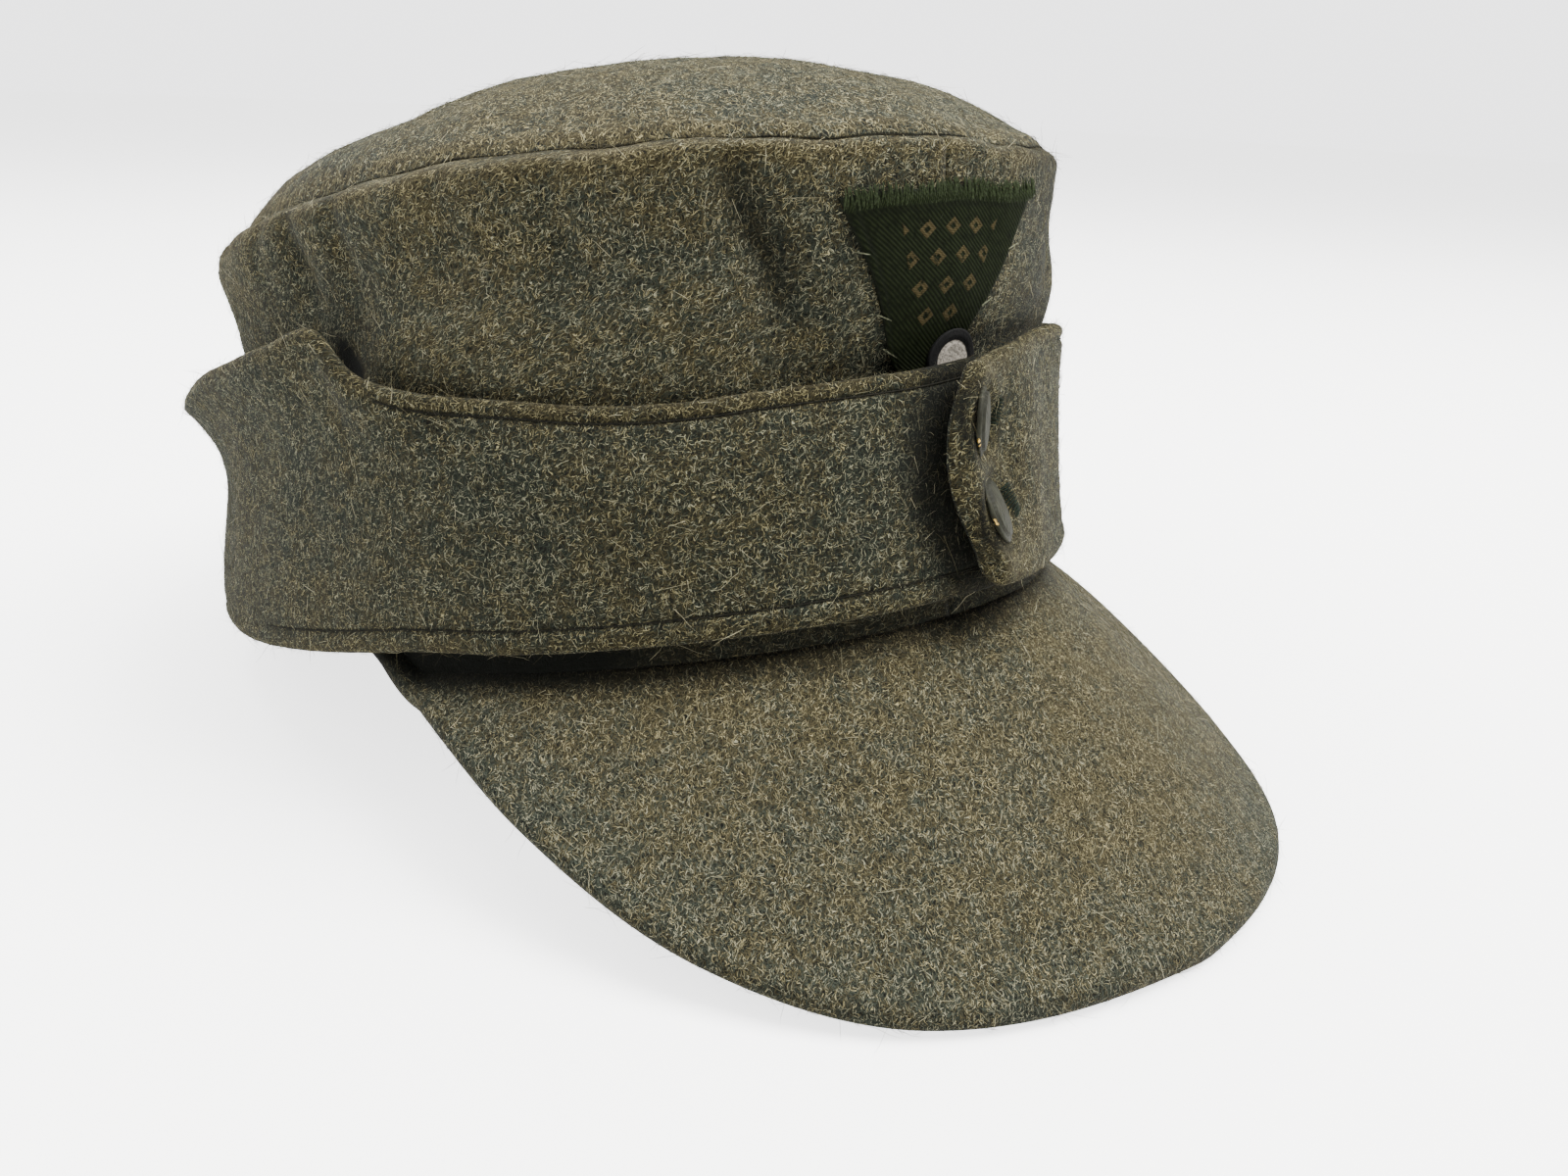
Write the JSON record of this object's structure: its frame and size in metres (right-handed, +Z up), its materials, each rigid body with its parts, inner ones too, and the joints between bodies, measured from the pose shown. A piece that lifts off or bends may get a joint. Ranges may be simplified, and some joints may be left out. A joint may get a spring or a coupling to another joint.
{
  "type": "field cap",
  "caption": "Soft wool field cap: oval crown with a low domed top, turned-up side flaps lapped and buttoned in front, a small front patch and a stiff sloping peak.",
  "frame": {"origin": "centre of the bounding box's footprint, on the surface that the cap stands on", "axes": "+X towards the wearer's left, +Y from the peak towards the back of the head, +Z up from the surface"},
  "size_m": [0.185, 0.2748, 0.1362],
  "materials": {
    "crown_wool": "matt fulled wool, grey green with lighter and browner fibres",
    "turn_up_wool": "matt fulled wool, darker grey green, worn brown along the hems",
    "peak_wool": "matt wool over a stiff board, grey green",
    "patch_twill": "dark green woven twill with a slight sheen",
    "painted_metal": "matt grey-green paint over fine pebbling, chipped at the rim"
  },
  "bodies": {
    "root": {"crown_side_right": "crown_wool", "crown_side_left": "crown_wool", "crown_top": "crown_wool", "turn_up_right": "turn_up_wool", "turn_up_left": "turn_up_wool", "peak": "peak_wool", "badge_patch": "patch_twill", "button_upper": "painted_metal", "button_lower": "painted_metal"}
  },
  "joints": []
}
